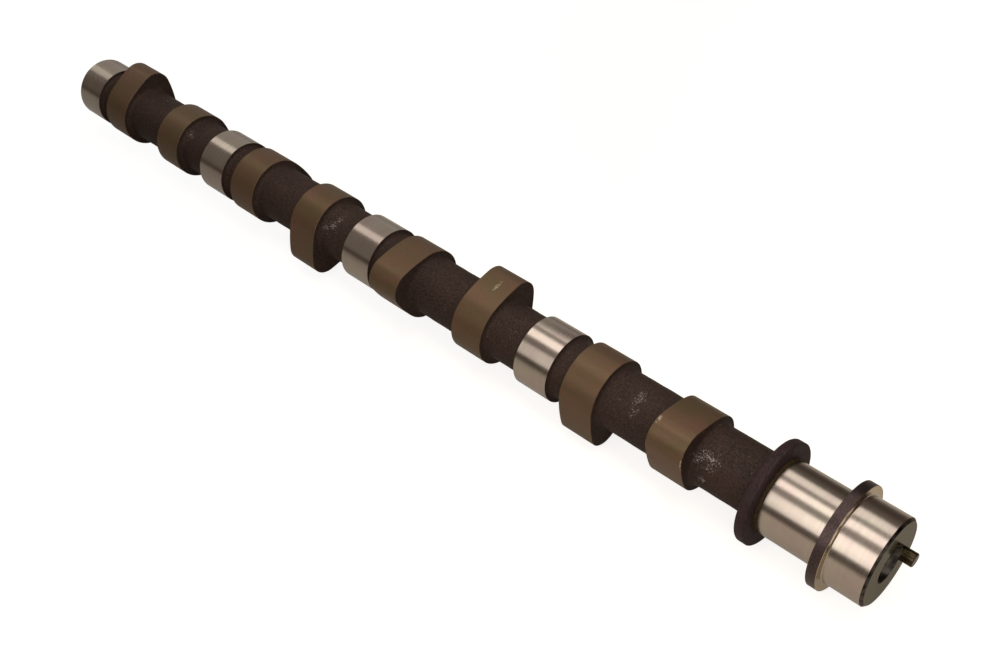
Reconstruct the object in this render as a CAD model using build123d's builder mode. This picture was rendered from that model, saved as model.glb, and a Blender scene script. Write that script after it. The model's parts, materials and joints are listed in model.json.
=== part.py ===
from build123d import *
import os
from math import cos, radians, sin

# Camshaft of an in-line four-cylinder engine with one overhead shaft.
# The shaft is one iron casting, turned and ground, with a steel dowel pin pressed into its nose.
# X runs along the shaft with the nose at the front end, Z is up, lengths are in mm.
# The origin is the middle of the nose's flat front face, and the shaft lies as it comes to rest.
# Angles are taken round the shaft from +Y towards +Z.

# Nose and thrust flanges, each length counted backwards from the front face
nose_radius = 17.5
nose_chamfer = 1.0
nose_length = 15.7
nose_corner = 0.5
thin_flange_radius = 21.0
thin_flange_width = 4.0
front_journal_length = 24.1
front_journal_radius = 15.0
root_width = 1.1
root_radius = 15.3
thick_flange_radius = 21.0
thick_flange_width = 4.4
thick_flange_round = 1.2

# Shank and bearing journals
shank_radius = 12.65
journal_radius = 15.0
journal_width = 16.8
bearing_pitch = 101.8
bearing_count = 4
first_bearing_setback = 150.2
end_chamfer = 1.0
cast_bevel = 1.6

# Cam lobes: base circle, flank arcs and nose arc of one profile, eight times
base_radius = 15.7
cam_height = 37.5
tip_radius = 8.5
flank_radius = 60.0
lobe_width = 16.0
front_lobe_setback = 34.25
rear_lobe_lead = 24.0
firing_order = (1, 3, 4, 2)
firing_step = 360 / len(firing_order)

# Turning of the lobes, all from the dowel pin, whose own angle is the one in which the shaft lies still
pin_angle = 332.5
front_lobe_lag = 161.5
rear_lobe_lag = 268.5

# Dowel pin and the holes in the two ends
pin_radius = 2.75
pin_seat_radius = 3.0
pin_orbit = 11.5
pin_stand_out = 4.5
pin_seat_depth = 10.0
pin_chamfer = 0.5
bolt_hole_radius = 5.35
bolt_hole_depth = 34.0
bolt_sink_radius = 7.8
centre_hole_radius = 1.6
centre_hole_depth = 8.0
centre_sink_radius = 4.0
centre_angle = 60

# Places along the shaft that follow from the lengths above
thin_flange_x = -nose_length - thin_flange_width / 2
front_journal_x = -nose_length - thin_flange_width - front_journal_length / 2
front_journal_rear = front_journal_x - front_journal_length / 2
thick_flange_x = front_journal_rear - root_width - thick_flange_width / 2
thick_flange_rear = thick_flange_x - thick_flange_width / 2
bearing_x = [-first_bearing_setback - number * bearing_pitch for number in range(bearing_count)]
rear_end = bearing_x[-1] - journal_width / 2 - end_chamfer

# Centres of the cam's arcs, on a profile whose tip points along its own X
tip_centre = cam_height - base_radius - tip_radius
base_to_flank = flank_radius - base_radius
tip_to_flank = flank_radius - tip_radius
flank_x = (base_to_flank**2 - tip_to_flank**2 + tip_centre**2) / (2 * tip_centre)
flank_y = (base_to_flank**2 - flank_x**2) ** 0.5
base_joint = Vector(-flank_x, flank_y) * (base_radius / base_to_flank)
tip_joint = Vector(tip_centre, 0) + Vector(tip_centre - flank_x, flank_y) * (tip_radius / tip_to_flank)
cam_reach = cam_height - base_radius


def below(point):
    """The same point of a cam's outline on the other side of its middle line."""
    return Vector(point.X, -point.Y)


def along(angle):
    """Unit vector square to the shaft, at an angle from +Y towards +Z."""
    return Vector(0, cos(radians(angle)), sin(radians(angle)))


def turned_step(x_middle, length, radius):
    """Half section of one turned step, drawn from the axis outwards in the XZ plane."""
    with Locations((x_middle, 0)):
        Rectangle(length, radius, align=(Align.CENTER, Align.MIN))


def cam_lobe(x_middle, angle):
    """One lobe: a base circle and a tip joined by two flank arcs, with the tip at the angle."""
    lobe_plane = Plane(origin=(x_middle, 0, 0), x_dir=along(angle), z_dir=(1, 0, 0))
    with BuildSketch(lobe_plane) as outline:
        with BuildLine():
            ThreePointArc(base_joint, (-base_radius, 0), below(base_joint))
            RadiusArc(below(base_joint), below(tip_joint), -flank_radius)
            ThreePointArc(below(tip_joint), (cam_reach, 0), tip_joint)
            RadiusArc(tip_joint, base_joint, -flank_radius)
        make_face()
    extrude(outline.sketch, amount=lobe_width / 2, both=True)


def circles_at(part, radius):
    """Round edges of one radius that lie square to the shaft on its own axis."""
    rings = part.edges().filter_by(GeomType.CIRCLE)
    rings = rings.filter_by(lambda edge: abs(edge.radius - radius) < 0.001)
    return rings.filter_by(lambda edge: abs(edge.arc_center.Y) + abs(edge.arc_center.Z) < 0.001)


pin_plane = Plane(origin=along(pin_angle) * pin_orbit, z_dir=(1, 0, 0))

with BuildPart() as camshaft:
    # The turned steps are one half section, spun round the shaft's axis.
    with BuildSketch(Plane.XZ) as half_section:
        turned_step(rear_end / 2, -rear_end, shank_radius)
        turned_step(-nose_length / 2, nose_length, nose_radius)
        turned_step(thin_flange_x, thin_flange_width, thin_flange_radius)
        turned_step(front_journal_x, front_journal_length, front_journal_radius)
        turned_step(thick_flange_x, thick_flange_width, thick_flange_radius)
        turned_step(front_journal_rear - root_width / 2, root_width, root_radius)
        for x_middle in bearing_x:
            turned_step(x_middle, journal_width, journal_radius)
        turned_step(rear_end + end_chamfer / 2, end_chamfer, journal_radius)
    revolve(axis=Axis.X)

    # The front lobe of each cylinder and the one behind it follow the firing order.
    for turn, cylinder in enumerate(firing_order):
        front_lobe_x = bearing_x[0] + (2 - cylinder) * bearing_pitch - front_lobe_setback
        cam_lobe(front_lobe_x, pin_angle + front_lobe_lag + turn * firing_step)
        rear_lobe_x = bearing_x[0] + (1 - cylinder) * bearing_pitch + rear_lobe_lead
        cam_lobe(rear_lobe_x, pin_angle + rear_lobe_lag + turn * firing_step)

    # The casting leaves a sloping corner wherever the shank meets a lobe, a journal or the flange.
    chamfer(circles_at(camshaft, shank_radius), cast_bevel)
    fillet(circles_at(camshaft, thick_flange_radius).group_by(Axis.X)[0], thick_flange_round)
    fillet(circles_at(camshaft, nose_radius).sort_by(Axis.X)[0], nose_corner)
    chamfer(circles_at(camshaft, nose_radius).sort_by(Axis.X)[-1], nose_chamfer)
    chamfer(circles_at(camshaft, journal_radius).sort_by(Axis.X)[0], end_chamfer)

    # A cone centres the shaft for grinding, and behind it is the drilled hole for the wheel's bolt.
    with Locations(Plane(origin=(0, 0, 0), z_dir=(1, 0, 0))):
        CounterSinkHole(bolt_hole_radius, bolt_sink_radius, bolt_hole_depth, centre_angle)
    with Locations(Plane(origin=(rear_end, 0, 0), z_dir=(-1, 0, 0))):
        CounterSinkHole(centre_hole_radius, centre_sink_radius, centre_hole_depth, centre_angle)
    with Locations(pin_plane):
        Hole(pin_seat_radius, pin_seat_depth)

# The dowel pin's thicker end fills its hole to the bottom, and the free end turns the timing wheel.
with BuildPart() as dowel_pin:
    with BuildSketch(pin_plane):
        Circle(pin_seat_radius)
    extrude(amount=-pin_seat_depth)
    with BuildSketch(pin_plane):
        Circle(pin_radius)
    extrude(amount=pin_stand_out)
    chamfer(dowel_pin.edges().group_by(Axis.X)[-1], pin_chamfer)

camshaft.part.label = "camshaft"
dowel_pin.part.label = "dowel_pin"

os.makedirs("parts", exist_ok=True)
export_step(camshaft.part, "parts/camshaft.step")
export_step(dowel_pin.part, "parts/dowel_pin.step")
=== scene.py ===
import json
import math

import bpy
import numpy as np
from bpy.props import FloatProperty, FloatVectorProperty, IntProperty, PointerProperty
from mathutils import Euler, Matrix, Vector


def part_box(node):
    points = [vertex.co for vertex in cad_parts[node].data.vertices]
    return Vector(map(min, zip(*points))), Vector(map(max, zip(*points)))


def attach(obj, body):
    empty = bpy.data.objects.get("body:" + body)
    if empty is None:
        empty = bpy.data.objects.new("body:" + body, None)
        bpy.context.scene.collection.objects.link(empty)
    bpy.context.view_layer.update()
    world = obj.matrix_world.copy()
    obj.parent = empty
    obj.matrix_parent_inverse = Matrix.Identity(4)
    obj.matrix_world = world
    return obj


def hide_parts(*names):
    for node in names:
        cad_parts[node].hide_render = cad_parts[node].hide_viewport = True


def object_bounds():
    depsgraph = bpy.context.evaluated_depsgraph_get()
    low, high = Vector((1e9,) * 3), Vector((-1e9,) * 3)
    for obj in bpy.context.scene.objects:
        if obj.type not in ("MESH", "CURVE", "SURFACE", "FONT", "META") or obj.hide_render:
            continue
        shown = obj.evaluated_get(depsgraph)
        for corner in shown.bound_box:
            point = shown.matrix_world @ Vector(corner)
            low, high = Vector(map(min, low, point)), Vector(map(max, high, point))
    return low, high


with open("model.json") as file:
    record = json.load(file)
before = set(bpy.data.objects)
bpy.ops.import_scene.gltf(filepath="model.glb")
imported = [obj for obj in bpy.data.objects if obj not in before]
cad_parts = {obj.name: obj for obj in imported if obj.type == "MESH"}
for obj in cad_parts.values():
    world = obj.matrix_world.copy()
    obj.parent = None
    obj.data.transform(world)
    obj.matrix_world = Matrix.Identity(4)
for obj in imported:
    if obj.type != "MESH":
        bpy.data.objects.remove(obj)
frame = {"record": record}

bl_info = {
    "name": "Camshaft workshop",
    "version": (1, 0, 0),
    "blender": (4, 5, 0),
    "location": "View3D > Sidebar > Camshaft",
    "description": "Dresses a cast engine camshaft: journals, lobes, cast shank, dowel pin and stage",
    "category": "Object",
}

MM = 0.001
CAD_BOX = [list(corner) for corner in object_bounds()]
MOUNTS = {mount["name"]: mount for mount in frame["record"]["mounts"]}

# Cylinders in the order in which their lobes follow one another, and the bearings behind the thick flange
FIRING_ORDER = (1, 3, 4, 2)
BEARINGS = 4

# Numbers of the camshaft's finishes, in the order of its materials
# The bore's finish is painted shade in the holes and on the nose bevel.
# The last finish is painted shade in the corner beside the thick flange.
GROUND, LOBE, CAST, TURNED, SHOULDER, SHADED_BORE, THRUST, FLANGE, CORNER_SHADE = range(9)

# Faces that meet at more than this angle are shaded with an edge
SHARP_DEGREES = 28

# Points round the dowel pin, and the smallest rings at its ends and at the bottom of a hole
PIN_AROUND = 64
PIN_POLE = 0.2 * MM
BORE_POLE = 0.3 * MM

# Direction of the casting's offset in degrees past the dowel pin, and the waves that make up its lumps
OFFSET_DEGREES = 62.0
LUMP_SEED = 7
LUMP_WAVES = 28
LONGEST_LUMP = 26 * MM
SHORTEST_LUMP = 5 * MM

# Space between two rings of the shank, rings in each turn of the thread, and the slope and land of its groove
SHANK_RING_SPACE = 2.6 * MM
RINGS_A_TURN = 6
GROOVE_SLOPE = 1.5
GROOVE_LAND = 0.25

# An oval's value starts to rise at the first share of its reach, and is full at the second
OVAL_EDGE = 1.15
OVAL_CORE = 0.1

# Scuffed places on the cast skin in millimetres: each one's middle, its reach along the shaft and round it,
# and how closely its flecks stand
SCUFFS = (
    ((-104.0, -3.7, 12.0), 3.0, 4.6, 0.8),
    ((-103.4, -7.8, 9.9), 2.6, 4.4, 0.75),
    ((-69.5, -9.0, 8.8), 6.8, 6.4, 0.8),
    ((-62.0, -2.1, 12.5), 1.4, 2.4, 0.8),
    ((-69.1, -12.6, 0.9), 2.8, 2.6, 0.75),
    ((-273.2, -5.9, 11.1), 5.8, 9.0, 0.65),
    ((-377.4, -7.0, 10.5), 3.0, 7.0, 0.55),
)

# Nicks on the lobes in millimetres, with the same reaches
NICKS = (
    ((-183.6, 4.4, 16.9), 0.9, 3.4),
    ((-89.8, -10.9, 17.9), 0.8, 2.2),
    ((-74.7, -17.7, 10.0), 0.6, 4.6),
)

# Bare metal in the scuffs, in the rare specks of the cast skin and in the nicks
SCUFF_METAL = (0.24, 0.21, 0.19)
SPECK_METAL = (0.2, 0.17, 0.15)
NICK_METAL = (0.38, 0.31, 0.22)

# Each soft box: angle round the shaft and angle across in degrees, front and rear ends and distance in
# metres, slant in degrees, and its share of the glow. Those named far or end show in polished steel alone.
SOFT_BOXES = (
    ("soft_box_behind", 61.2, 23, 0.6, -0.67, 0.9, 18, 0.62),
    ("soft_box_behind_far", 37, 72, -0.67, -2.2, 0.9, 0, 0.16),
    ("soft_box_low", 34, 22, 0.5, -0.45, 0.9, 0, 0.03),
    ("soft_box_low_far", 24, 46, -0.45, -0.67, 0.9, 0, 0.07),
    ("soft_box_above", 96.2, 20, 0.4, -0.33, 0.6, 8, 0.95),
    ("soft_box_above_middle", 88.8, 25, -0.33, -0.58, 0.6, 9, 0.97),
    ("soft_box_above_far", 85.3, 23.5, -0.58, -1.08, 0.6, 8.4, 0.54),
    ("soft_box_above_end", 80.3, 26, -1.08, -1.7, 0.6, 16, 0.29),
    ("soft_box_beside", 142.2, 36.5, 0.25, -0.12, 0.3, 0, 0.97),
    ("soft_box_beside_middle", 142.2, 36.5, -0.12, -0.34, 0.3, 0, 0.49),
    ("ceiling", 98.5, 100, 0.6, -0.7, 1.1, 0, 0.13),
    ("ceiling_far", 130, 70, -0.7, -1.6, 1.1, 0, 0.065),
    ("ceiling_end", 130, 70, -1.6, -2.4, 1.1, 0, 0.03),
)

# Soft boxes beyond the two ends: place along the shaft, height and width in metres, and share of the glow
END_BOXES = (
    ("soft_box_front", 1.3, 0.55, 0.9, 0.3),
    ("soft_box_rear", -1.8, 0.45, 0.7, 0.3),
)

# Watts of a lamp for each square metre and each unit of glow
LAMP_WATTS = 4

# Half the floor's width, and where it fades, in metres: backwards at the rear, across and forwards on the far
# side, and outwards all round
FLOOR_HALF = 4.0
REAR_FADE = (-0.12, -0.42)
BEYOND_ACROSS = (0.06, 0.26)
BEYOND_ALONG = (-0.42, -0.22)
FAR_FADE = (0.6, 1.3)

# Share of the floor's colour at the rear and on the far side
REAR_SHADE = 0.28
BEYOND_SHADE = 0.3

# White that the floor gives the camera beside the shaft and where it fades, and what it gains far out
FLOOR_WHITE = (0.78, 0.95)
FAR_WHITE = 0.05

# Floor as polished steel mirrors it: its colour, its strength from the front to the rear, and the share of
# that strength from the near side to the far side
MIRRORED_COLOUR = (1.0, 0.93, 0.84)
REAR_MIRRORED = (0.17, 0.26)
BEYOND_MIRRORED = (1.0, 0.15)

# Camera of the photograph: its place in millimetres, its turns about X, Y and Z in degrees from looking
# straight down, and the nearest distance that it sees in metres
CAMERA_PLACE = (87.29, -251.86, 359.53)
CAMERA_TURNS = (45.145, 3.757, 42.978)
NEAREST_SEEN = 0.01


def mount_size(name, key):
    """A mount's size in metres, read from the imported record."""
    return MOUNTS[name]["dims"][key] * MM


class CamshaftSizes(bpy.types.PropertyGroup):
    """Lengths of the camshaft along its axis and its radii, in metres."""

    around: IntProperty(name="Facets round", description="Points round every ring", default=240, min=48)
    nose_radius: FloatProperty(
        name="Nose radius", description="Polished seal seat", default=mount_size("nose", "r_mm"),
        unit="LENGTH")
    nose_length: FloatProperty(
        name="Nose length", description="Front face to thin flange", default=15.7 * MM, unit="LENGTH")
    flange_radius: FloatProperty(
        name="Flange radius", description="Both thrust flanges", default=21.0 * MM, unit="LENGTH")
    thin_width: FloatProperty(
        name="Thin flange width", description="Ground flange by the nose", default=4.0 * MM, unit="LENGTH")
    thick_width: FloatProperty(
        name="Thick flange width", description="Cast flange behind the front journal", default=4.4 * MM,
        unit="LENGTH")
    thick_round: FloatProperty(
        name="Thick flange corner", description="Rounded rear corner", default=1.2 * MM, unit="LENGTH")
    front_journal_length: FloatProperty(
        name="Front journal length", description="Between the flanges", default=24.1 * MM, unit="LENGTH")
    # The step and the journal's end beside it are painted dark as shade in the corner by the thick flange
    root_width: FloatProperty(
        name="Root width", description="Dark step beside the thick flange", default=1.1 * MM, unit="LENGTH")
    root_radius: FloatProperty(
        name="Root radius", description="Radius of that step", default=15.3 * MM, unit="LENGTH")
    # Width of the journal's end that is painted dark as shade beside the thick flange
    root_shade_width: FloatProperty(
        name="Root tint width", description="Tinted end of the front journal", default=0.4 * MM,
        unit="LENGTH")
    nose_corner: FloatProperty(
        name="Nose corner", description="Round where the nose meets the flange", default=0.5 * MM,
        unit="LENGTH")
    journal_radius: FloatProperty(
        name="Journal radius", description="All bearing journals", default=mount_size("rear_journal", "r_mm"),
        unit="LENGTH")
    journal_width: FloatProperty(
        name="Journal width", description="Rear and middle journals",
        default=mount_size("rear_journal", "length_mm"), unit="LENGTH")
    bearing_pitch: FloatProperty(
        name="Bearing pitch", description="From one bearing to the next", default=101.8 * MM, unit="LENGTH")
    first_bearing: FloatProperty(
        name="First bearing", description="Front face to the first middle journal", default=150.2 * MM,
        unit="LENGTH")
    shank_radius: FloatProperty(
        name="Shank radius", description="Cast shank between the lobes", default=12.65 * MM, unit="LENGTH")
    shank_offset: FloatProperty(
        name="Casting offset", description="Cast skin off the ground axis", default=0.3 * MM, unit="LENGTH")
    cast_round: FloatProperty(
        name="Cast corner", description="Round where the shank meets a shoulder", default=1.6 * MM,
        unit="LENGTH")
    cast_waviness: FloatProperty(
        name="Cast waviness", description="Height of the cast skin's lumps", default=0.05 * MM, unit="LENGTH")
    edge_break: FloatProperty(
        name="Edge break", description="Small bevel on ground edges", default=0.15 * MM, unit="LENGTH")
    end_bevel: FloatProperty(
        name="End bevel", description="Bevel at the nose and the rear end", default=1.0 * MM, unit="LENGTH")


class CamProfile(bpy.types.PropertyGroup):
    """Size and turning of the eight lobes."""

    base_radius: FloatProperty(
        name="Base radius", description="Base circle", default=15.7 * MM, unit="LENGTH")
    height: FloatProperty(name="Cam height", description="Heel to tip", default=37.5 * MM, unit="LENGTH")
    tip_radius: FloatProperty(
        name="Tip radius", description="Arc at the tip", default=8.5 * MM, unit="LENGTH")
    flank_radius: FloatProperty(
        name="Flank radius", description="Arc of the flanks", default=60.0 * MM, unit="LENGTH")
    width: FloatProperty(name="Lobe width", description="Along the shaft", default=16.0 * MM, unit="LENGTH")
    front_setback: FloatProperty(
        name="Front lobe setback", description="Behind the bearing in front", default=34.25 * MM,
        unit="LENGTH")
    rear_lead: FloatProperty(
        name="Rear lobe lead", description="In front of the bearing behind", default=24.0 * MM, unit="LENGTH")
    pin_angle: FloatProperty(
        name="Pin angle", description="Dowel pin, from +Y towards +Z", default=math.radians(332.5),
        subtype="ANGLE")
    front_lag: FloatProperty(
        name="Front lobe turn", description="First cylinder's front lobe, from the pin",
        default=math.radians(161.5), subtype="ANGLE")
    rear_lag: FloatProperty(
        name="Rear lobe turn", description="First cylinder's rear lobe, from the pin",
        default=math.radians(268.5), subtype="ANGLE")


class EndHoles(bpy.types.PropertyGroup):
    """Holes in the two ends and the dowel pin."""

    bolt_radius: FloatProperty(
        name="Bolt hole radius", description="Core of the thread", default=mount_size("bolt_hole", "r_mm"),
        unit="LENGTH")
    bolt_depth: FloatProperty(
        name="Bolt hole depth", description="From the face", default=34.0 * MM, unit="LENGTH")
    bolt_sink: FloatProperty(
        name="Mouth radius", description="Cone at the mouth", default=7.8 * MM, unit="LENGTH")
    thread_pitch: FloatProperty(
        name="Thread pitch", description="Turn to turn", default=1.5 * MM, unit="LENGTH")
    thread_depth: FloatProperty(
        name="Thread depth", description="Root of the thread beyond its core", default=0.65 * MM,
        unit="LENGTH")
    thread_turns: IntProperty(name="Thread turns", description="Turns cut behind the mouth", default=11)
    centre_radius: FloatProperty(
        name="Centre hole radius", description="Drilled centre at the rear", default=1.6 * MM, unit="LENGTH")
    centre_depth: FloatProperty(
        name="Centre hole depth", description="From the rear face", default=8.0 * MM, unit="LENGTH")
    centre_sink: FloatProperty(
        name="Centre mouth radius", description="Cone at the rear face", default=4.0 * MM, unit="LENGTH")
    cone_angle: FloatProperty(
        name="Cone angle", description="Full angle of both cones", default=math.radians(60.0),
        subtype="ANGLE")
    pin_radius: FloatProperty(
        name="Pin radius", description="Free end of the dowel", default=mount_size("dowel", "r_mm"),
        unit="LENGTH")
    pin_round: FloatProperty(
        name="Pin corner", description="Rounded corner at its end", default=0.5 * MM, unit="LENGTH")


class Finishes(bpy.types.PropertyGroup):
    """Colours of the finishes."""

    ground: FloatVectorProperty(
        name="Ground steel", description="Journals and nose", subtype="COLOR", default=(0.413, 0.364, 0.317))
    lobe: FloatVectorProperty(
        name="Lobe flank", description="Ground and treated cam tracks", subtype="COLOR",
        default=(0.122, 0.08, 0.043))
    cast: FloatVectorProperty(
        name="Cast skin", description="Shank and shoulders", subtype="COLOR", default=(0.03, 0.0186, 0.0145))
    turned: FloatVectorProperty(
        name="Turned face", description="Front face of the nose", subtype="COLOR",
        default=(0.25, 0.235, 0.2))
    thrust: FloatVectorProperty(
        name="Thrust face", description="Ground sides of the thin flange", subtype="COLOR",
        default=(0.46, 0.365, 0.265))
    flange: FloatVectorProperty(
        name="Flange skin", description="Thick flange", subtype="COLOR", default=(0.0248, 0.0138, 0.0146))
    # Painted shade: the dark brown of the root step and the journal's end in the corner beside the thick
    # flange
    root: FloatVectorProperty(
        name="Root tint", description="Heat-tinted ring beside the thick flange", subtype="COLOR",
        default=(0.032, 0.02, 0.008))
    pin: FloatVectorProperty(
        name="Dowel steel", description="Dowel pin", subtype="COLOR", default=(0.06, 0.045, 0.0235))


class StageLight(bpy.types.PropertyGroup):
    """Camera, lamps and floor."""

    lens: FloatProperty(name="Lens", description="Focal length in millimetres", default=45.11)
    box_glow: FloatProperty(name="Soft box glow", description="Brightness of the soft boxes", default=1.8)
    room_glow: FloatProperty(name="Room glow", description="Even light of the room", default=0.1)
    floor: FloatVectorProperty(
        name="Floor", description="Pale floor", subtype="COLOR", default=(0.46, 0.42, 0.37))
    lamp_colour: FloatVectorProperty(
        name="Soft box colour", description="All soft boxes", subtype="COLOR", default=(1.0, 0.965, 0.92))
    room_colour: FloatVectorProperty(
        name="Room colour", description="Even light of the room", subtype="COLOR", default=(1.0, 0.76, 0.58))


# The scene's property groups and the names under which the scene holds them
GROUPS = {
    "cam_sizes": CamshaftSizes,
    "cam_profile": CamProfile,
    "cam_holes": EndHoles,
    "cam_finishes": Finishes,
    "cam_stage": StageLight,
}


def settings():
    """The scene's own property groups: sizes, lobes, holes, finishes and stage."""
    return [getattr(bpy.context.scene, key) for key in GROUPS]


# Outlines of the body: a run of rings is their places along the axis and their radii


def quarter(centre, size, first, last, rings):
    """Rings on an arc: centre + size * (cos a, sin a), with a going from first to last."""
    a = np.linspace(first, last, rings)[:, None]
    return centre[0] + size * np.cos(a), centre[1] + size * np.sin(a)


def cam_radius(angle_from_tip, profile):
    """Radius of the cam at an angle from its tip.

    The outline is a base circle, two flank arcs and a tip arc that touch one another. The flank's
    centre is the point whose distances from the centres of the base circle and the tip arc are the
    flank radius less their own radii, and the radius is where a ray from the shaft's axis meets the arc.
    """
    tip_x = profile.height - profile.base_radius - profile.tip_radius
    to_base = profile.flank_radius - profile.base_radius
    to_tip = profile.flank_radius - profile.tip_radius
    flank_x = (to_base**2 - to_tip**2 + tip_x**2) / (2 * tip_x)
    flank_y = -math.sqrt(to_base**2 - flank_x**2)
    turn = np.abs((angle_from_tip + np.pi) % (2 * np.pi) - np.pi)
    lean = flank_x * np.cos(turn) + flank_y * np.sin(turn)
    flank = lean + np.sqrt(lean**2 - to_base**2 + profile.flank_radius**2)
    across = np.clip(profile.tip_radius**2 - (tip_x * np.sin(turn)) ** 2, 0.0, None)
    tip = tip_x * np.cos(turn) + np.sqrt(across)
    leaves_base = math.atan2(-flank_y, -flank_x)
    joint = Vector((tip_x - flank_x, -flank_y)).normalized() * profile.tip_radius
    leaves_tip = math.atan2(joint.y, tip_x + joint.x)
    return np.where(turn >= leaves_base, profile.base_radius, np.where(turn >= leaves_tip, flank, tip))


def lumps(place, radius, angle, seed, longest, shortest, waves):
    """Smooth lumps of about -1 to 1: the sum of sine waves that run through space in random directions."""
    rng = np.random.default_rng(seed)
    heading = rng.normal(size=(waves, 3))
    heading /= np.linalg.norm(heading, axis=1)[:, None]
    number = 2 * np.pi / np.exp(rng.uniform(np.log(shortest), np.log(longest), waves))
    phase = rng.uniform(0, 2 * np.pi, waves)
    x, y, z = place, radius * np.cos(angle), radius * np.sin(angle)
    total = np.zeros(np.broadcast(x, y).shape)
    for (hx, hy, hz), rate, start in zip(heading, number, phase):
        total += np.sin(rate * (hx * x + hy * y + hz * z) + start)
    return total / math.sqrt(waves)


class RingStack:
    """A turned and cast body as rings of points, one finish for each band between two rings.

    It begins with one small ring, and the angles of a ring's points are counted from +Y towards +Z.
    """

    def __init__(self, around, place, radius, finish):
        self.angle = (np.arange(around) * (2 * np.pi / around))[None, :]
        self.place = [np.full_like(self.angle, place)]
        self.radius = [np.full_like(self.angle, radius)]
        self.band = [finish]

    def run(self, rings, finish):
        """Adds a run of rings with one finish, less its first, where the stack's last ring stands."""
        full = np.ones_like(self.angle)
        place, radius = (rings[0] * full)[1:], (rings[1] * full)[1:]
        self.place.append(place)
        self.radius.append(radius)
        self.band += [finish] * len(place)

    def to(self, place, radius, rings, finish):
        """Goes on in a straight line to a place and a radius: start + (end - start) * t."""
        start, outline = self.place[-1][-1:], self.radius[-1][-1:]
        t = np.linspace(0.0, 1.0, rings)[:, None]
        self.run((start + (place - start) * t, outline + (radius - outline) * t), finish)

    def mesh(self, name, finishes):
        """The closed mesh: (place, radius cos a, radius sin a), with one point at each end's middle."""
        place, radius = np.concatenate(self.place), np.concatenate(self.radius)
        rings, around = place.shape
        points = np.stack([place, radius * np.cos(self.angle), radius * np.sin(self.angle)], axis=-1)
        first = [[place[0, 0], 0.0, 0.0]]
        last = [[place[-1, 0], 0.0, 0.0]]
        points = np.concatenate([points.reshape(-1, 3), first, last])
        index = np.arange(rings * around).reshape(rings, around)
        ahead = np.roll(index, -1, axis=1)
        quads = np.stack([index[:-1], ahead[:-1], ahead[1:], index[1:]], axis=-1).reshape(-1, 4)
        opening = np.stack([np.full(around, rings * around), ahead[0], index[0]], axis=-1)
        closing = np.stack([np.full(around, rings * around + 1), index[-1], ahead[-1]], axis=-1)
        corners = np.concatenate([opening.ravel(), quads.ravel(), closing.ravel()])
        sizes = np.concatenate([np.full(around, 3), np.full(len(quads), 4), np.full(around, 3)])
        # The band or fan before each ring has that ring's finish, and the closing fan has the last ring's.
        worn = np.repeat(self.band + self.band[-1:], around)
        return filled_mesh(name, points, corners, sizes, worn, finishes)


def filled_mesh(name, points, corners, sizes, worn, finishes):
    """A mesh object from whole arrays of points, corners, face sizes and material numbers."""
    mesh = bpy.data.meshes.new(name)
    mesh.vertices.add(len(points))
    mesh.vertices.foreach_set("co", np.asarray(points, dtype=np.float32).ravel())
    mesh.loops.add(len(corners))
    mesh.loops.foreach_set("vertex_index", corners.astype(np.int32))
    mesh.polygons.add(len(sizes))
    starts = np.concatenate([[0], np.cumsum(sizes)[:-1]]).astype(np.int32)
    mesh.polygons.foreach_set("loop_start", starts)
    mesh.polygons.foreach_set("material_index", worn.astype(np.int32))
    for finish in finishes:
        mesh.materials.append(finish)
    mesh.update(calc_edges=True)
    mesh.validate()
    mesh.shade_smooth()
    mesh.set_sharp_from_angle(angle=math.radians(SHARP_DEGREES))
    piece = bpy.data.objects.new(name, mesh)
    bpy.context.scene.collection.objects.link(piece)
    return piece


# Finishes: each is a shader graph on object coordinates


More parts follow.
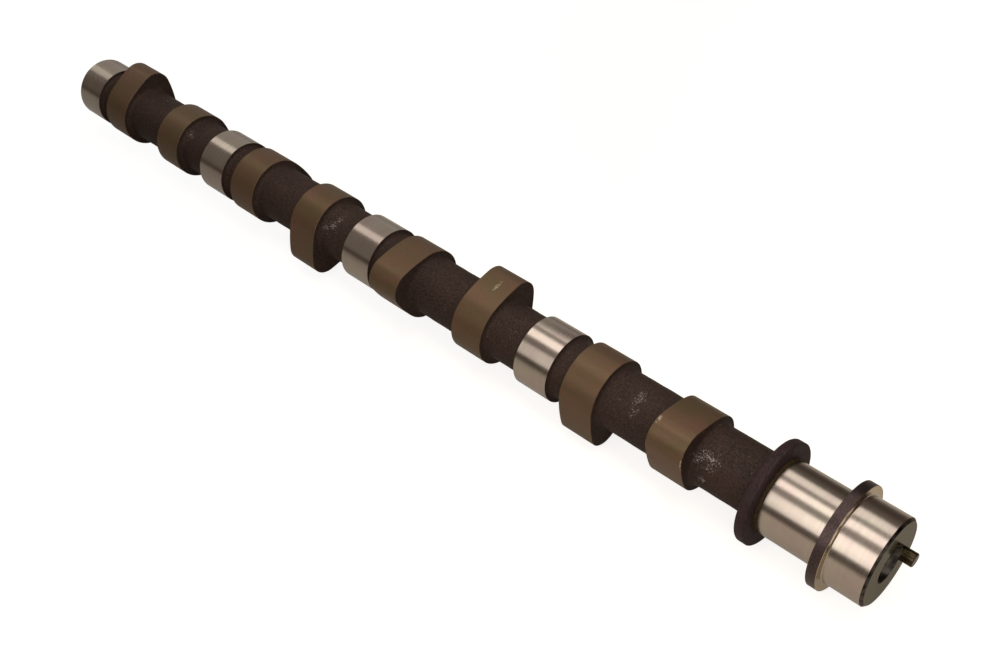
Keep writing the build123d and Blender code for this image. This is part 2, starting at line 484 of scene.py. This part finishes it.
class Graph:
    """A material's node tree with short ways to add and join nodes."""

    def __init__(self, name):
        self.material = bpy.data.materials.new(name)
        self.material.use_nodes = True
        self.nodes = self.material.node_tree.nodes
        self.links = self.material.node_tree.links
        self.shader = self.nodes["Principled BSDF"]
        self.place = self.add("ShaderNodeTexCoord").outputs["Object"]

    def add(self, kind, **values):
        """A new node, with its plain values set by name."""
        node = self.nodes.new(kind)
        for key, value in values.items():
            setattr(node, key, value)
        return node

    def join(self, source, target):
        """Links an output socket to an input socket."""
        self.links.new(source, target)

    def axes(self):
        """Object coordinates along each axis."""
        split = self.add("ShaderNodeSeparateXYZ")
        self.join(self.place, split.inputs["Vector"])
        return split.outputs["X"], split.outputs["Y"], split.outputs["Z"]

    def vector(self, *parts):
        """A vector whose first parts are sockets and whose others are 0."""
        node = self.add("ShaderNodeCombineXYZ")
        for part, target in zip(parts, node.inputs):
            self.join(part, target)
        return node.outputs["Vector"]

    def length(self, vector):
        """The length of a vector."""
        node = self.add("ShaderNodeVectorMath", operation="LENGTH")
        self.join(vector, node.inputs[0])
        return node.outputs["Value"]

    def stretched(self, scale):
        """Object coordinates multiplied along each axis."""
        mapping = self.add("ShaderNodeMapping")
        mapping.inputs["Scale"].default_value = scale
        self.join(self.place, mapping.inputs["Vector"])
        return mapping.outputs["Vector"]

    def noise(self, scale, detail=4.0, roughness=0.55, vector=None, distortion=0.0):
        """Noise on object coordinates, or on another vector."""
        node = self.add("ShaderNodeTexNoise")
        node.inputs["Scale"].default_value = scale
        node.inputs["Detail"].default_value = detail
        node.inputs["Roughness"].default_value = roughness
        node.inputs["Distortion"].default_value = distortion
        self.join(vector or self.place, node.inputs["Vector"])
        return node.outputs["Fac"]

    def ramp(self, source, stops):
        """A grey ramp between two (place, grey) stops."""
        node = self.add("ShaderNodeValToRGB")
        for point, (where, grey) in zip(node.color_ramp.elements, stops):
            point.position = where
            point.color = (grey, grey, grey, 1)
        self.join(source, node.inputs["Fac"])
        return node.outputs["Color"]

    def blend(self, share, low, high):
        """Mixes two colours, each a socket or a plain colour, by a share.

        On this node, inputs 0, 6 and 7 are the share and the two colours, and output 2 is the mixed colour.
        """
        node = self.add("ShaderNodeMix", data_type="RGBA")
        self.join(share, node.inputs[0])
        for key, colour in ((6, low), (7, high)):
            if isinstance(colour, bpy.types.NodeSocket):
                self.join(colour, node.inputs[key])
            else:
                node.inputs[key].default_value = (*colour, 1)
        return node.outputs[2]

    def spread(self, source, low, high):
        """A value that runs from low to high as the source runs from 0 to 1."""
        node = self.add("ShaderNodeMapRange")
        node.inputs["To Min"].default_value = low
        node.inputs["To Max"].default_value = high
        self.join(source, node.inputs["Value"])
        return node.outputs["Result"]

    def near(self, place, along, round_it):
        """A value that rises from 0 to 1 inside an oval, whose place and two reaches are in millimetres."""
        gap = self.add("ShaderNodeVectorMath", operation="SUBTRACT")
        self.join(self.place, gap.inputs[0])
        gap.inputs[1].default_value = Vector(place) * MM
        scaled = self.add("ShaderNodeVectorMath", operation="MULTIPLY")
        self.join(gap.outputs["Vector"], scaled.inputs[0])
        scaled.inputs[1].default_value = (1 / MM / along, 1 / MM / round_it, 1 / MM / round_it)
        return self.along(self.length(scaled.outputs["Vector"]), OVAL_EDGE, OVAL_CORE)

    def along(self, source, start, end):
        """A value that runs from 0 to 1 as the source runs from start to end."""
        node = self.add("ShaderNodeMapRange")
        node.inputs["From Min"].default_value = start
        node.inputs["From Max"].default_value = end
        self.join(source, node.inputs["Value"])
        return node.outputs["Result"]

    def maths(self, operation, *terms):
        """The result of an operation on sockets and numbers."""
        node = self.add("ShaderNodeMath", operation=operation)
        for key, term in enumerate(terms):
            if isinstance(term, bpy.types.NodeSocket):
                self.join(term, node.inputs[key])
            else:
                node.inputs[key].default_value = term
        return node.outputs[0]

    def bump(self, heights):
        """Bumps laid on one another, each (height socket, strength, depth in metres)."""
        normal = None
        for source, strength, depth in heights:
            node = self.add("ShaderNodeBump")
            node.inputs["Strength"].default_value = strength
            node.inputs["Distance"].default_value = depth
            self.join(source, node.inputs["Height"])
            if normal is not None:
                self.join(normal, node.inputs["Normal"])
            normal = node.outputs["Normal"]
        self.join(normal, self.shader.inputs["Normal"])

    def surface(self, colour, roughness, metallic):
        """Joins a colour and a roughness to the shader, and sets how metallic it is."""
        self.join(colour, self.shader.inputs["Base Color"])
        self.join(roughness, self.shader.inputs["Roughness"])
        self.shader.inputs["Metallic"].default_value = metallic


def tint(colour, *factors):
    """A colour multiplied by one factor, or by three, one for each channel."""
    if len(factors) == 1:
        factors = factors * 3
    return tuple(channel * factor for channel, factor in zip(colour, factors))


def ground_steel(colour):
    """Warm ground steel with fine lines round the shaft and faint stains."""
    g = Graph("ground_steel")
    lines = g.noise(1.0, detail=3.0, vector=g.stretched((5200, 40, 40)))
    broad = g.noise(1.0, detail=2.0, vector=g.stretched((900, 15, 15)))
    stain = g.noise(90, detail=5.0)
    pink = tint(colour, 1.0, 0.93, 0.95)
    straw = tint(colour, 1.04, 1.05, 1.0)
    tone = g.blend(g.ramp(stain, [(0.38, 0.0), (0.62, 1.0)]), pink, straw)
    tone = g.blend(g.ramp(broad, [(0.3, 0.0), (0.75, 0.35)]), tone, tint(colour, 0.82))
    g.surface(tone, g.spread(lines, 0.15, 0.27), 1.0)
    g.bump([(lines, 0.25, 0.00001), (broad, 0.12, 0.00002)])
    return g.material


def lobe_track(colour):
    """Satin cam track, olive brown with soft reddish patches and lines round the shaft."""
    g = Graph("lobe_track")
    lines = g.noise(1.0, detail=4.0, vector=g.stretched((3000, 60, 60)))
    patch = g.noise(70, detail=6.0, roughness=0.6, distortion=0.8)
    fine = g.noise(900, detail=3.0)
    olive = tint(colour, 0.94, 1.02, 0.9)
    red = tint(colour, 1.2, 0.96, 1.12)
    tone = g.blend(g.ramp(patch, [(0.36, 0.0), (0.64, 1.0)]), olive, red)
    tone = g.blend(g.ramp(fine, [(0.3, 0.0), (0.7, 0.5)]), tone, tint(colour, 0.78))
    nick = g.ramp(g.noise(1100, detail=3.0, roughness=0.7), [(0.47, 0.0), (0.53, 1.0)])
    for place, along, round_it in NICKS:
        hit = g.along(g.near(place, along, round_it), 0.1, 0.75)
        tone = g.blend(g.maths("MULTIPLY", hit, nick), tone, NICK_METAL)
    g.surface(tone, g.spread(patch, 0.38, 0.48), 0.5)
    g.shader.inputs["Specular IOR Level"].default_value = 0.25
    g.bump([(lines, 0.2, 0.00002), (fine, 0.15, 0.00003)])
    return g.material


def cast_skin(name, colour, gloss):
    """Dark cast skin with sand grain, mottling, pale specks and a few scuffed places."""
    g = Graph(name)
    grain = g.noise(1300, detail=4.0, roughness=0.65)
    coarse = g.noise(420, detail=4.0)
    mottle = g.noise(75, detail=6.0, roughness=0.62)
    brown = tint(colour, 1.2, 1.12, 1.1)
    tone = g.blend(g.ramp(mottle, [(0.35, 0.0), (0.65, 1.0)]), tint(colour, 0.82), brown)
    tone = g.blend(g.ramp(grain, [(0.42, 0.0), (0.72, 0.8)]), tone, tint(colour, 2.1))
    tone = g.blend(g.ramp(grain, [(0.3, 0.6), (0.46, 0.0)]), tone, tint(colour, 0.45))
    scuffed = 0.0
    for place, along, round_it, close in SCUFFS:
        inside = g.maths("MULTIPLY", g.near(place, along, round_it), close)
        scuffed = g.maths("MAXIMUM", inside, scuffed)
    # The nearer the middle of a scuff, the closer its flecks stand.
    fleck = g.maths("MULTIPLY_ADD", scuffed, 0.24, g.noise(2000, detail=3.0, roughness=0.7))
    fleck = g.maths("MULTIPLY_ADD", g.noise(260, detail=4.0), 0.6, fleck)
    fleck = g.maths("MULTIPLY", g.along(fleck, 1.0, 1.1), g.along(scuffed, 0.02, 0.2))
    tone = g.blend(fleck, tone, SCUFF_METAL)
    rare = g.ramp(g.noise(760, detail=2.0), [(0.74, 0.0), (0.77, 0.8)])
    tone = g.blend(rare, tone, SPECK_METAL)
    g.surface(tone, g.spread(coarse, 0.5, 0.72), 0.0)
    g.shader.inputs["Specular IOR Level"].default_value = gloss
    g.bump([(coarse, 0.5, 0.00016), (grain, 0.7, 0.0001)])
    return g.material


def turned_face(name, colour, edge_on):
    """Turned steel with faint rings round the axis, whose shine seen edge-on is a share of bare steel's."""
    g = Graph(name)
    _, across, up = g.axes()
    rings = g.noise(5200, detail=3.0, vector=g.vector(g.length(g.vector(across, up))))
    mottle = g.noise(260, detail=5.0)
    tone = g.blend(g.ramp(mottle, [(0.35, 0.0), (0.7, 1.0)]), tint(colour, 0.92), tint(colour, 1.06))
    g.surface(tone, g.spread(mottle, 0.11, 0.2), 1.0)
    g.shader.inputs["Specular Tint"].default_value = (edge_on, edge_on * 0.98, edge_on * 0.9, 1)
    g.bump([(rings, 0.2, 0.00001), (mottle, 0.05, 0.00002)])
    return g.material


def dark_shoulder(colour):
    """Dark rim of the thin flange and bevels: browned steel with a low sheen."""
    g = Graph("dark_shoulder")
    lines = g.noise(1.0, detail=3.0, vector=g.stretched((2600, 50, 50)))
    mottle = g.noise(150, detail=5.0)
    grain = g.noise(1900, detail=3.0)
    metal = tint(colour, 2.2, 2.5, 3.1)
    tone = g.blend(g.ramp(mottle, [(0.3, 0.0), (0.7, 1.0)]), tint(metal, 0.8), tint(metal, 1.2))
    tone = g.blend(g.ramp(grain, [(0.5, 0.0), (0.68, 0.7)]), tone, tint(metal, 1.6))
    tone = g.blend(g.ramp(grain, [(0.34, 0.5), (0.5, 0.0)]), tone, tint(metal, 0.6))
    g.surface(tone, g.spread(mottle, 0.36, 0.5), 1.0)
    g.bump([(lines, 0.2, 0.00002), (grain, 0.25, 0.00004)])
    return g.material


def bore_painted_shade(colour):
    """Steel in the bolt hole, the centre hole and the nose bevel, darkened as painted shade, with random
    lighter patches as painted glints.
    """
    g = Graph("bore_painted_shade")
    stain = g.noise(300, detail=4.0)
    # Painted shade and glints: a few hundredths to a quarter of the ground steel's colour, lighter in random
    # patches
    tone = g.blend(g.ramp(stain, [(0.38, 0.0), (0.66, 1.0)]), tint(colour, 0.03), tint(colour, 0.26))
    g.surface(tone, g.spread(stain, 0.28, 0.42), 1.0)
    g.shader.inputs["Specular Tint"].default_value = (0.7, 0.64, 0.62, 1)
    g.bump([(stain, 0.1, 0.00003)])
    return g.material


def dowel_steel(colour):
    """Olive, lightly oxidised dowel steel."""
    g = Graph("dowel_steel")
    stain = g.noise(420, detail=5.0)
    lines = g.noise(1.0, detail=3.0, vector=g.stretched((400, 2600, 2600)))
    tone = g.blend(g.ramp(stain, [(0.35, 0.0), (0.65, 1.0)]), tint(colour, 0.8), tint(colour, 1.15))
    g.surface(tone, g.spread(stain, 0.24, 0.36), 1.0)
    g.bump([(lines, 0.15, 0.00002)])
    return g.material


# The pieces


def shank_radius(place, angle, sizes, profile):
    """Radius of the cast shank: its own radius, shifted off the axis, with smooth lumps on it."""
    shift = sizes.shank_offset * np.cos(angle - profile.pin_angle - math.radians(OFFSET_DEGREES))
    swell = lumps(place, sizes.shank_radius, angle, LUMP_SEED, LONGEST_LUMP, SHORTEST_LUMP, LUMP_WAVES)
    return sizes.shank_radius + shift + sizes.cast_waviness * swell


def shoulder_list(sizes, profile):
    """Every journal and lobe behind the thick flange, front to rear: (front, rear, tip angle or None)."""
    raised = []
    for number in range(BEARINGS):
        middle = -sizes.first_bearing - number * sizes.bearing_pitch
        raised.append((middle + sizes.journal_width / 2, middle - sizes.journal_width / 2, None))
    for turn, cylinder in enumerate(FIRING_ORDER):
        bearing = -sizes.first_bearing + (1 - cylinder) * sizes.bearing_pitch
        turned = turn * 2 * math.pi / len(FIRING_ORDER)
        front = bearing + sizes.bearing_pitch - profile.front_setback
        rear = bearing + profile.rear_lead
        half = profile.width / 2
        raised.append((front + half, front - half, profile.pin_angle + profile.front_lag + turned))
        raised.append((rear + half, rear - half, profile.pin_angle + profile.rear_lag + turned))
    return sorted(raised, key=lambda feature: -feature[0])


def cast_corner(stack, place, sizes, profile, rising):
    """Round corner between the shank and a shoulder: a quarter circle standing on the shank's own skin."""
    size, forwards = sizes.cast_round, 1
    a = np.linspace(0.0, np.pi / 2, 5)[:, None]
    if not rising:
        a, forwards = a[::-1], -1
    skin = shank_radius(place, stack.angle, sizes, profile)
    along = place + forwards * size * (1 - np.sin(a))
    stack.run((along, skin + size * (1 - np.cos(a))), CAST)


def add_shank(stack, front, rear, sizes, profile):
    """Shank between two shoulders, one ring every few millimetres, with a cast corner at either end."""
    size = sizes.cast_round
    rings = max(3, int(round((front - rear) / SHANK_RING_SPACE)) + 1)
    place = np.linspace(front - size, rear + size, rings)[:, None]
    cast_corner(stack, front, sizes, profile, rising=False)
    stack.run((place, shank_radius(place, stack.angle, sizes, profile)), CAST)
    cast_corner(stack, rear, sizes, profile, rising=True)


def add_rear_side(stack, place, sizes, profile):
    """Flat cast side of a shoulder, down to where its cast corner begins."""
    stack.to(place, shank_radius(place, stack.angle, sizes, profile) + sizes.cast_round, 3, CAST)


def add_raised(stack, feature, sizes, profile):
    """A journal or a lobe: cast front side, broken edge, ground track, broken edge, cast rear side."""
    front, rear, tip = feature
    outer, finish, broken = np.full_like(stack.angle, sizes.journal_radius), GROUND, SHOULDER
    if tip is not None:
        outer, finish, broken = cam_radius(stack.angle - tip, profile), LOBE, LOBE
    edge = sizes.edge_break
    stack.to(front, outer - edge, 3, CAST)
    stack.to(front - edge, outer, 2, broken)
    stack.to(rear + edge, outer, 3, finish)
    stack.to(rear, outer - edge, 2, broken)
    add_rear_side(stack, rear, sizes, profile)


def add_bolt_hole(stack, holes):
    """Hole from its bottom to the face: a plain bore, a thread and the cone at its mouth.

    The thread's radius rises and falls along its helix: the core's radius, plus the thread's depth times a
    triangle wave of the place along the shaft less the turn, cut off flat at both ends.
    """
    mouth = (holes.bolt_sink - holes.bolt_radius) / math.tan(holes.cone_angle / 2)
    threaded = holes.thread_turns * holes.thread_pitch
    stack.to(-holes.bolt_depth, holes.bolt_radius, 3, SHADED_BORE)
    stack.to(-mouth - threaded, holes.bolt_radius, 3, SHADED_BORE)
    rings = holes.thread_turns * RINGS_A_TURN + 1
    place = np.linspace(-mouth - threaded, -mouth, rings)[:, None]
    helix = (place / holes.thread_pitch - stack.angle / (2 * np.pi)) % 1.0
    groove = np.clip(GROOVE_SLOPE * (1 - np.abs(2 * helix - 1)) - GROOVE_LAND, 0.0, 1.0)
    fade = np.clip((place + mouth + threaded) / holes.thread_pitch, 0.0, 1.0)
    stack.run((place, holes.bolt_radius + holes.thread_depth * groove * fade), SHADED_BORE)
    stack.to(0.0, holes.bolt_sink, 4, SHADED_BORE)


def add_nose(stack, sizes):
    """Front face, bevel, seal seat, flanges and front journal; returns the thick flange's rear place."""
    radius, edge = sizes.nose_radius, sizes.edge_break
    stack.to(0.0, radius - sizes.end_bevel, 4, TURNED)
    # The nose bevel takes the bore's dark finish, which is painted shade
    stack.to(-sizes.end_bevel, radius, 2, SHADED_BORE)
    shoulder = -sizes.nose_length
    corner = sizes.nose_corner
    stack.to(shoulder + corner, radius, 4, GROUND)
    stack.run(quarter((shoulder + corner, radius + corner), corner, -np.pi / 2, -np.pi, 5), GROUND)
    rim = sizes.flange_radius
    stack.to(shoulder, rim - edge, 3, THRUST)
    stack.to(shoulder - edge, rim, 2, THRUST)
    back = shoulder - sizes.thin_width
    stack.to(back + edge, rim, 2, SHOULDER)
    stack.to(back, rim - edge, 2, SHOULDER)
    journal = sizes.journal_radius
    stack.to(back, journal, 3, THRUST)
    journal_rear = back - sizes.front_journal_length
    # The journal's end, the root step and its riser are painted dark as shade in the corner by the thick
    # flange
    shade_start = journal_rear + sizes.root_shade_width
    stack.to(shade_start, journal, 6, GROUND)
    stack.to(journal_rear, journal, 2, CORNER_SHADE)
    stack.to(journal_rear, sizes.root_radius, 2, CORNER_SHADE)
    flange = journal_rear - sizes.root_width
    stack.to(flange, sizes.root_radius, 2, CORNER_SHADE)
    stack.to(flange, rim - 2 * edge, 3, FLANGE)
    stack.to(flange - 2 * edge, rim, 2, FLANGE)
    behind = flange - sizes.thick_width
    size = sizes.thick_round
    stack.to(behind + size, rim, 2, FLANGE)
    stack.run(quarter((behind + size, rim - size), size, np.pi / 2, np.pi, 6), FLANGE)
    return behind


def add_rear_end(stack, feature, sizes, holes):
    """Rear journal, its bevel, the end face and the drilled centre."""
    front, rear, _ = feature
    edge, radius = sizes.edge_break, sizes.journal_radius
    stack.to(front, radius - edge, 3, CAST)
    stack.to(front - edge, radius, 2, SHOULDER)
    stack.to(rear, radius, 3, GROUND)
    end = rear - sizes.end_bevel
    stack.to(end, radius - sizes.end_bevel, 2, GROUND)
    stack.to(end, holes.centre_sink, 4, TURNED)
    cone = (holes.centre_sink - holes.centre_radius) / math.tan(holes.cone_angle / 2)
    stack.to(end + cone, holes.centre_radius, 3, SHADED_BORE)
    deep = end + holes.centre_depth
    stack.to(deep, holes.centre_radius, 2, SHADED_BORE)
    stack.to(deep, BORE_POLE, 2, SHADED_BORE)


def build_camshaft():
    """The whole casting as one stack of rings, from the bolt hole's bottom to that of the rear centre."""
    sizes, profile, holes, finishes, _ = settings()
    stack = RingStack(sizes.around, -holes.bolt_depth, BORE_POLE, SHADED_BORE)
    add_bolt_hole(stack, holes)
    last = add_nose(stack, sizes)
    add_rear_side(stack, last, sizes, profile)
    *features, rear_journal = shoulder_list(sizes, profile)
    for feature in features:
        add_shank(stack, last, feature[0], sizes, profile)
        add_raised(stack, feature, sizes, profile)
        last = feature[1]
    add_shank(stack, last, rear_journal[0], sizes, profile)
    add_rear_end(stack, rear_journal, sizes, holes)
    made = [
        ground_steel(finishes.ground),
        lobe_track(finishes.lobe),
        cast_skin("cast_skin", finishes.cast, gloss=0.1),
        turned_face("turned_face", finishes.turned, edge_on=0.505),
        dark_shoulder(finishes.cast),
        # Painted shade in the holes and on the nose bevel, with painted glints
        bore_painted_shade(finishes.ground),
        turned_face("thrust_face", finishes.thrust, edge_on=1.0),
        cast_skin("flange_skin", finishes.flange, gloss=0.14),
        # Painted shade in the corner beside the thick flange
        cast_skin("root_painted_shade", finishes.root, gloss=0.14),
    ]
    return stack.mesh("camshaft_body", made)


def build_pin():
    """Dowel pin: rings of one radius with a rounded free end, moved off the shaft's axis to its hole."""
    _, _, holes, finishes, _ = settings()
    low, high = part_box("dowel_pin")
    bottom, tip = low[0], high[0]
    radius, size = holes.pin_radius, holes.pin_round
    stack = RingStack(PIN_AROUND, tip, PIN_POLE, 0)
    stack.to(tip, radius - size, 3, 0)
    stack.run(quarter((tip - size, radius - size), size, 0.0, np.pi / 2, 6), 0)
    stack.to(bottom, radius, 8, 0)
    stack.to(bottom, PIN_POLE, 3, 0)
    piece = stack.mesh("dowel", [dowel_steel(finishes.pin)])
    seat = Vector(MOUNTS["dowel"]["pos_m"])
    piece.data.transform(Matrix.Translation((0, seat.y, seat.z)))
    piece.data.update()
    return piece


# The stage


def hang_lamp(name, place, axes, length, width, glow):
    """Rectangular lamp at a place that shines against its third axis, as bright at any size."""
    mirrored_only = name.endswith(("_far", "_end"))
    lamp = bpy.data.lights.new(name, "AREA")
    lamp.shape = "RECTANGLE"
    lamp.size = length
    lamp.size_y = width
    lamp.energy = glow * LAMP_WATTS * length * width
    lamp.color = settings()[-1].lamp_colour
    holder = bpy.data.objects.new(name, lamp)
    holder.matrix_world = Matrix.Translation(place) @ Matrix(axes).transposed().to_4x4()
    holder.visible_camera = False
    holder.visible_diffuse = not mirrored_only
    bpy.context.scene.collection.objects.link(holder)


def soft_box(name, angle, across, front, rear, distance, slant, glow):
    """Long soft box beside the shaft, at an angle round the axis and facing it, slanted in its own plane."""
    angle, across, slant = math.radians(angle), math.radians(across), math.radians(slant)
    away = Vector((0, math.cos(angle), math.sin(angle)))
    along = Vector((1, 0, 0))
    side = along * math.cos(slant) - away.cross(along) * math.sin(slant)
    place = away * distance + along * (front + rear) / 2
    width = 2 * distance * math.tan(across / 2)
    hang_lamp(name, place, (side, away.cross(side), away), front - rear, width, glow)


def end_box(name, along, height, width, glow):
    """Square soft box beyond one end of the shaft, turned down towards that end."""
    place = Vector((along, 0, height))
    away, side = place.normalized(), Vector((0, 1, 0))
    hang_lamp(name, place, (side, away.cross(side), away), width, width, glow)


def floor_finish(stage):
    """Matt pale floor that the camera sees as near white, and polished steel as dim."""
    g = Graph("pale_floor")
    along_shaft, across_shaft, _ = g.axes()
    rear = g.along(along_shaft, *REAR_FADE)
    across, backwards = g.along(across_shaft, *BEYOND_ACROSS), g.along(along_shaft, *BEYOND_ALONG)
    beyond = g.maths("MULTIPLY", across, backwards)
    far = g.along(g.length(g.place), *FAR_FADE)
    tone = g.blend(g.noise(3.0, detail=2.0), tint(stage.floor, 0.99), tint(stage.floor, 1.01))
    tone = g.blend(rear, tone, tint(stage.floor, REAR_SHADE))
    tone = g.blend(beyond, tone, tint(stage.floor, BEYOND_SHADE))
    g.join(tone, g.shader.inputs["Base Color"])
    g.shader.inputs["Roughness"].default_value = 0.9
    g.shader.inputs["Specular IOR Level"].default_value = 0.0
    path = g.add("ShaderNodeLightPath")
    camera_ray = path.outputs["Is Camera Ray"]
    faded = g.maths("MAXIMUM", g.maths("MAXIMUM", rear, beyond), far)
    seen = g.maths("MULTIPLY_ADD", far, FAR_WHITE, g.spread(faded, *FLOOR_WHITE))
    mirrored = g.maths("ADD", path.outputs["Is Glossy Ray"], path.outputs["Is Transmission Ray"])
    share = g.maths("MULTIPLY", g.spread(rear, *REAR_MIRRORED), g.spread(beyond, *BEYOND_MIRRORED))
    strength = g.maths("MULTIPLY_ADD", mirrored, share, g.maths("MULTIPLY", camera_ray, seen))
    g.join(g.blend(camera_ray, MIRRORED_COLOUR, (1.0, 1.0, 1.0)), g.shader.inputs["Emission Color"])
    g.join(strength, g.shader.inputs["Emission Strength"])
    return g.material


def lay_floor(stage):
    """Square floor at the height at which the shaft rests."""
    ends = [-FLOOR_HALF, FLOOR_HALF]
    x, y = np.meshgrid(ends, ends, indexing="ij")
    points = np.stack([x.ravel(), y.ravel(), np.full(4, CAD_BOX[0][2])], axis=-1)
    corners = np.array([0, 2, 3, 1])
    floor = filled_mesh("floor", points, corners, np.array([4]), np.array([0]), [floor_finish(stage)])


def light_room(stage):
    """Dim warm light all round, which the camera sees as a white backdrop."""
    world = bpy.data.worlds.new("room")
    bpy.context.scene.world = world
    world.use_nodes = True
    nodes, links = world.node_tree.nodes, world.node_tree.links
    room, backdrop = nodes["Background"], nodes.new("ShaderNodeBackground")
    room.inputs["Color"].default_value = (*stage.room_colour, 1)
    room.inputs["Strength"].default_value = stage.room_glow
    backdrop.inputs["Color"].default_value = (1, 1, 1, 1)
    pick, path = nodes.new("ShaderNodeMixShader"), nodes.new("ShaderNodeLightPath")
    links.new(path.outputs["Is Camera Ray"], pick.inputs["Fac"])
    links.new(room.outputs[0], pick.inputs[1])
    links.new(backdrop.outputs[0], pick.inputs[2])
    links.new(pick.outputs[0], nodes["World Output"].inputs["Surface"])


def set_camera(stage):
    """Camera of the photograph."""
    camera = bpy.data.cameras.new("camera")
    camera.lens = stage.lens
    camera.clip_start = NEAREST_SEEN
    holder = bpy.data.objects.new("camera", camera)
    turned = Euler([math.radians(turn) for turn in CAMERA_TURNS]).to_matrix().to_4x4()
    holder.matrix_world = Matrix.Translation(Vector(CAMERA_PLACE) * MM) @ turned
    bpy.context.scene.collection.objects.link(holder)
    bpy.context.scene.camera = holder


def build_stage():
    """Pale floor under the shaft, room light, soft boxes round it and the camera of the photograph."""
    stage = settings()[-1]
    lay_floor(stage)
    light_room(stage)
    for name, *place, share in SOFT_BOXES:
        soft_box(name, *place, glow=share * stage.box_glow)
    for name, *place, share in END_BOXES:
        end_box(name, *place, glow=share * stage.box_glow)
    set_camera(stage)
    bpy.context.scene.view_settings.view_transform = "Standard"


class MakeCamshaft(bpy.types.Operator):
    """Builds the cast and ground shaft in place of its plain solid"""

    bl_idname = "camshaft.make_camshaft"
    bl_label = "Camshaft"

    def execute(self, context):
        piece = build_camshaft()
        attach(piece, "root")
        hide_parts("camshaft")
        return {"FINISHED"}


class MakeDowel(bpy.types.Operator):
    """Builds the dowel pin in place of its plain solid"""

    bl_idname = "camshaft.make_dowel"
    bl_label = "Dowel pin"

    def execute(self, context):
        piece = build_pin()
        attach(piece, "root")
        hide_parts("dowel_pin")
        return {"FINISHED"}


class MakeStage(bpy.types.Operator):
    """Sets the floor, the lights and the camera"""

    bl_idname = "camshaft.make_stage"
    bl_label = "Stage"

    def execute(self, context):
        build_stage()
        return {"FINISHED"}


class CamshaftPanel(bpy.types.Panel):
    """Lists the camshaft's operators and settings"""

    bl_idname = "VIEW3D_PT_camshaft"
    bl_label = "Camshaft"
    bl_space_type = "VIEW_3D"
    bl_region_type = "UI"
    bl_category = "Camshaft"

    def draw(self, context):
        for operator in (MakeCamshaft, MakeDowel, MakeStage):
            self.layout.operator(operator.bl_idname)
        for group in settings():
            box = self.layout.box()
            for key in group.bl_rna.properties.keys():
                if key not in {"rna_type", "name"}:
                    box.prop(group, key)


CLASSES = (*GROUPS.values(), MakeCamshaft, MakeDowel, MakeStage, CamshaftPanel)


def register():
    """Registers the classes and gives the scene its property groups."""
    for item in CLASSES:
        bpy.utils.register_class(item)
    for key, group in GROUPS.items():
        setattr(bpy.types.Scene, key, PointerProperty(type=group))


def unregister():
    """Takes away what register has set up."""
    for key in GROUPS:
        delattr(bpy.types.Scene, key)
    for item in reversed(CLASSES):
        bpy.utils.unregister_class(item)


def main():
    """Registers the add-on and makes every piece in order."""
    register()
    bpy.ops.camshaft.make_stage()
    bpy.ops.camshaft.make_camshaft()
    bpy.ops.camshaft.make_dowel()


if __name__ == "__main__":
    main()
